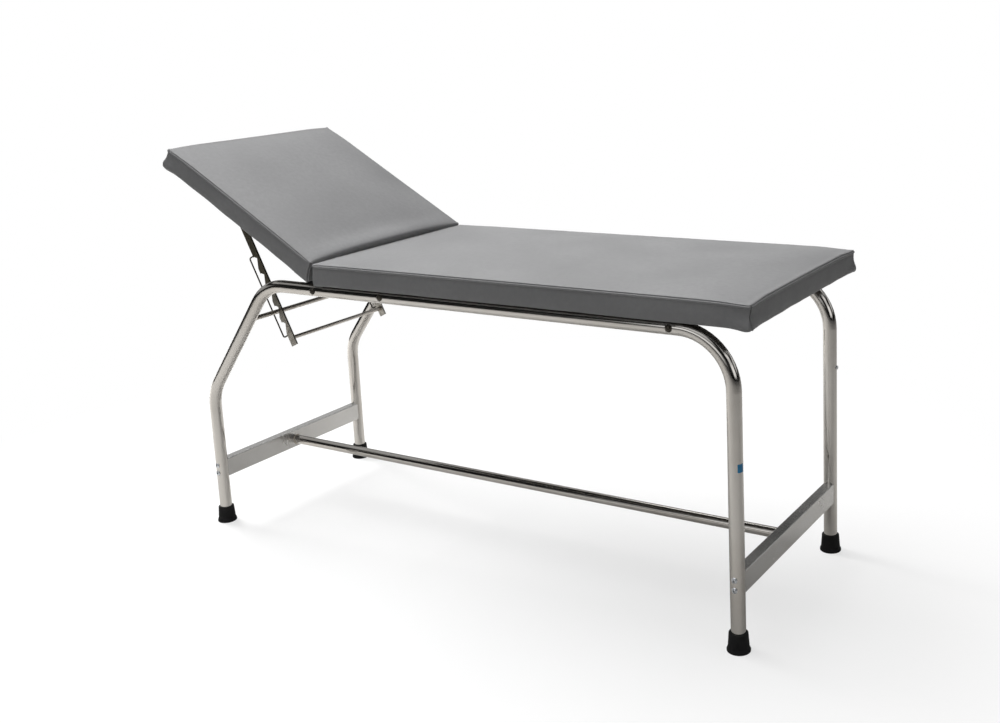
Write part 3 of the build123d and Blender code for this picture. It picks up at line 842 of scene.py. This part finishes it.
# ---------------------------------------------------------------- weld beads
def weld_bead(name, centre, axis, radius, size, body):
    """A rippled ring of weld where a round bar meets another piece."""
    around = 40
    section = 8
    ripple_share = 0.22
    turn = axis.to_track_quat("Z", "Y").to_matrix()
    vertices = []
    faces = []
    for step in range(around):
        angle = 2 * math.pi * step / around
        ripple = 1 + ripple_share * noise.noise(Vector((step * 0.9, radius * 900, centre.y * 7)))
        for point in range(section):
            tilt = 2 * math.pi * point / section
            outward = radius + size * ripple * math.cos(tilt)
            height = size * ripple * math.sin(tilt)
            offset = Vector((outward * math.cos(angle), outward * math.sin(angle), height))
            vertices.append(centre + turn @ offset)
    for step in range(around):
        this_ring = step * section
        next_ring = (step + 1) % around * section
        for point in range(section):
            after = (point + 1) % section
            faces.append((this_ring + point, this_ring + after, next_ring + after, next_ring + point))
    bead = mesh_object(name, vertices, faces, "weld_steel")
    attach(bead, body)


ACROSS = Vector((0, 1, 0))
ALONG = Vector((1, 0, 0))
rod_low, rod_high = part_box("rest_rod")
rod_centre = (rod_low + rod_high) / 2
rod_radius = (rod_high.z - rod_low.z) / 2
tie_low, tie_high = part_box("tie_rod")
tie_centre = (tie_low + tie_high) / 2
tie_radius = (tie_high.z - tie_low.z) / 2
stretcher_low, stretcher_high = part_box("stretcher_bar")
stretcher_centre = (stretcher_low + stretcher_high) / 2
stretcher_radius = (stretcher_high.z - stretcher_low.z) / 2
for side_name, side in (("near", -1), ("far", 1)):
    rod_end = Vector((rod_centre.x, side * rod_high.y, rod_centre.z))
    weld_bead(f"rest_rod_weld_{side_name}", rod_end, ACROSS, rod_radius + 0.6 * MM, 2.0 * MM, "frame")
    tie_end = Vector((tie_centre.x, side * tie_high.y, tie_centre.z))
    weld_bead(f"tie_rod_weld_{side_name}", tie_end, ACROSS, tie_radius + 0.4 * MM, 1.4 * MM, "ratchet")
for end_name, end_x in (("head", stretcher_low.x), ("foot", stretcher_high.x)):
    bar_end = Vector((end_x, 0, stretcher_centre.z))
    weld_bead(f"stretcher_weld_{end_name}", bar_end, ALONG, stretcher_radius + 0.5 * MM, 1.8 * MM, "frame")


# ---------------------------------------------------------------- stage, light and camera
FLOOR_REACH = 14.0
ROOM_CENTRE = (0.1, 0, 0.7)


def floor_material(name):
    """Plain pale floor that fades to white away from the couch; duller to light and in reflections."""
    seen_colour = (0.93, 0.93, 0.93)
    mirrored_colour = (0.5, 0.49, 0.475)
    lighting_colour = (0.4, 0.4, 0.4)
    tree, shader = new_material(name)
    shader.inputs["Roughness"].default_value = 0.75
    shader.inputs["Specular IOR Level"].default_value = 0.15
    place = tree.nodes.new("ShaderNodeTexCoord")
    distance = tree.nodes.new("ShaderNodeVectorMath")
    distance.operation = "LENGTH"
    tree.links.new(place.outputs["Object"], distance.inputs[0])
    fade = tree.nodes.new("ShaderNodeMapRange")
    fade.interpolation_type = "SMOOTHSTEP"
    fade.inputs["From Min"].default_value = 0.5
    fade.inputs["From Max"].default_value = 2.0
    fade.inputs["To Min"].default_value = 0.62
    tree.links.new(distance.outputs["Value"], fade.inputs["Value"])
    rays = tree.nodes.new("ShaderNodeLightPath")
    unseen = mix_colour(tree, rays.outputs["Is Diffuse Ray"], mirrored_colour, lighting_colour)
    tone = mix_colour(tree, rays.outputs["Is Camera Ray"], unseen, seen_colour)
    tree.links.new(tone, shader.inputs["Base Color"])
    seen = tree.nodes.new("ShaderNodeMath")
    seen.operation = "MULTIPLY"
    tree.links.new(fade.outputs["Result"], seen.inputs[0])
    tree.links.new(rays.outputs["Is Camera Ray"], seen.inputs[1])
    white = tree.nodes.new("ShaderNodeEmission")
    white.inputs["Color"].default_value = (1, 1, 1, 1)
    white.inputs["Strength"].default_value = 1.0
    mix = tree.nodes.new("ShaderNodeMixShader")
    tree.links.new(seen.outputs["Value"], mix.inputs["Fac"])
    tree.links.new(shader.outputs["BSDF"], mix.inputs[1])
    tree.links.new(white.outputs["Emission"], mix.inputs[2])
    tree.links.new(mix.outputs["Shader"], tree.nodes["Material Output"].inputs["Surface"])


def fill_ramp(colour_ramp, stops):
    """Sets a colour ramp's stops from (place, grey) pairs."""
    while len(colour_ramp.elements) > 1:
        colour_ramp.elements.remove(colour_ramp.elements[-1])
    for number, (place, grey) in enumerate(stops):
        element = colour_ramp.elements[0] if number == 0 else colour_ramp.elements.new(place)
        element.position = place
        element.color = (grey, grey, grey, 1)


def studio_world():
    """White to the camera; a bright room with dark bands in reflections; dim and even as light."""
    # (place, grey) pairs, from straight down to straight up
    bands = (
        (0.0, 0.7), (0.47, 0.5), (0.49, 0.01), (0.54, 0.01), (0.56, 0.8),
        (0.66, 0.9), (0.69, 0.02), (0.74, 0.02), (0.77, 0.9),
    )
    # (place, grey) pairs, once round the room: four pale walls with dark gaps between them
    walls = (
        (0.0, 0.45), (0.07, 0.4), (0.1, 0.03), (0.16, 0.02), (0.18, 0.8), (0.3, 0.55),
        (0.33, 0.03), (0.4, 0.02), (0.43, 0.5), (0.5, 0.6), (0.53, 0.04), (0.57, 0.04),
        (0.6, 0.75), (0.7, 0.8), (0.73, 0.03), (0.8, 0.03), (0.83, 0.5), (1.0, 0.45),
    )
    world = bpy.data.worlds.new("studio")
    bpy.context.scene.world = world
    world.use_nodes = True
    tree = world.node_tree
    background = tree.nodes["Background"]
    place = tree.nodes.new("ShaderNodeTexCoord")
    split = tree.nodes.new("ShaderNodeSeparateXYZ")
    tree.links.new(place.outputs["Generated"], split.inputs["Vector"])

    heights = tree.nodes.new("ShaderNodeValToRGB")
    fill_ramp(heights.color_ramp, bands)
    tree.links.new(remap(tree, split.outputs["Z"], -1, 1, 0, 1), heights.inputs["Fac"])

    angle = tree.nodes.new("ShaderNodeMath")
    angle.operation = "ARCTAN2"
    tree.links.new(split.outputs["Y"], angle.inputs[0])
    tree.links.new(split.outputs["X"], angle.inputs[1])
    panels = tree.nodes.new("ShaderNodeValToRGB")
    fill_ramp(panels.color_ramp, walls)
    tree.links.new(remap(tree, angle.outputs["Value"], -math.pi, math.pi, 0, 1), panels.inputs["Fac"])

    room = tree.nodes.new("ShaderNodeMix")
    room.data_type = "RGBA"
    room.blend_type = "MULTIPLY"
    room.inputs["Factor"].default_value = 1.0
    colours = [socket for socket in room.inputs if socket.type == "RGBA"]
    tree.links.new(heights.outputs["Color"], colours[0])
    tree.links.new(panels.outputs["Color"], colours[1])
    reflected = [socket for socket in room.outputs if socket.type == "RGBA"][0]

    rays = tree.nodes.new("ShaderNodeLightPath")
    unseen = mix_colour(tree, rays.outputs["Is Glossy Ray"], (0.1, 0.1, 0.1), reflected)
    shown = mix_colour(tree, rays.outputs["Is Camera Ray"], unseen, (1.0, 1.0, 1.0))
    tree.links.new(shown, background.inputs["Color"])
    background.inputs["Strength"].default_value = 1.0


def soft_light(name, place, target, size, power, mirrored=True):
    """A rectangular area light aimed at a point; it shows in reflections only if mirrored."""
    data = bpy.data.lights.new(name, "AREA")
    data.shape = "RECTANGLE"
    data.size, data.size_y = size
    data.energy = power
    light = bpy.data.objects.new(name, data)
    light.location = place
    light.rotation_mode = "QUATERNION"
    light.rotation_quaternion = (Vector(target) - Vector(place)).to_track_quat("-Z", "Y")
    light.visible_camera = False
    light.visible_glossy = mirrored
    bpy.context.scene.collection.objects.link(light)


floor_material("pale_floor")
floor_corners = [(x * FLOOR_REACH, y * FLOOR_REACH, 0) for x, y in ((-1, -1), (1, -1), (1, 1), (-1, 1))]
floor = mesh_object("floor", floor_corners, [(0, 1, 2, 3)], "pale_floor", smooth=False)
studio_world()
soft_light("overhead", place=(-0.7, 0.2, 4.4), target=ROOM_CENTRE, size=(4.4, 3.6), power=180)
soft_light(
    "head_side", place=(-3.6, 0.4, 2.4), target=ROOM_CENTRE, size=(1.8, 2.4), power=235, mirrored=False
)
soft_light("foot_fill", place=(3.2, -0.6, 1.5), target=(0.2, 0, 0.6), size=(1.6, 1.6), power=5)
soft_light("near_fill", place=(0.2, -3.2, 1.4), target=(0.1, 0, 0.5), size=(2.4, 1.4), power=4)

# The photo's camera, from the perspective fit
camera_azimuth = math.radians(32.79)
camera_elevation = math.radians(11.0)
camera_roll = math.radians(-2.65)
camera_place = Vector((1.74503, -2.39638, 1.29309))
camera_data = bpy.data.cameras.new("camera")
camera_data.sensor_width = 36.0
camera_data.lens = 43.491
camera_data.shift_x = -0.06
camera_data.shift_y = -0.1015
forward = Vector((
    -math.sin(camera_azimuth) * math.cos(camera_elevation),
    math.cos(camera_azimuth) * math.cos(camera_elevation),
    -math.sin(camera_elevation),
))
level_right = forward.cross(Vector((0, 0, 1))).normalized()
level_up = level_right.cross(forward)
right = level_right * math.cos(camera_roll) + level_up * math.sin(camera_roll)
up = level_up * math.cos(camera_roll) - level_right * math.sin(camera_roll)
facing = Matrix((right, up, -forward)).transposed()
camera = bpy.data.objects.new("camera", camera_data)
camera.matrix_world = Matrix.Translation(camera_place) @ facing.to_4x4()
bpy.context.scene.collection.objects.link(camera)
bpy.context.scene.camera = camera

bpy.context.scene.view_settings.view_transform = "Standard"
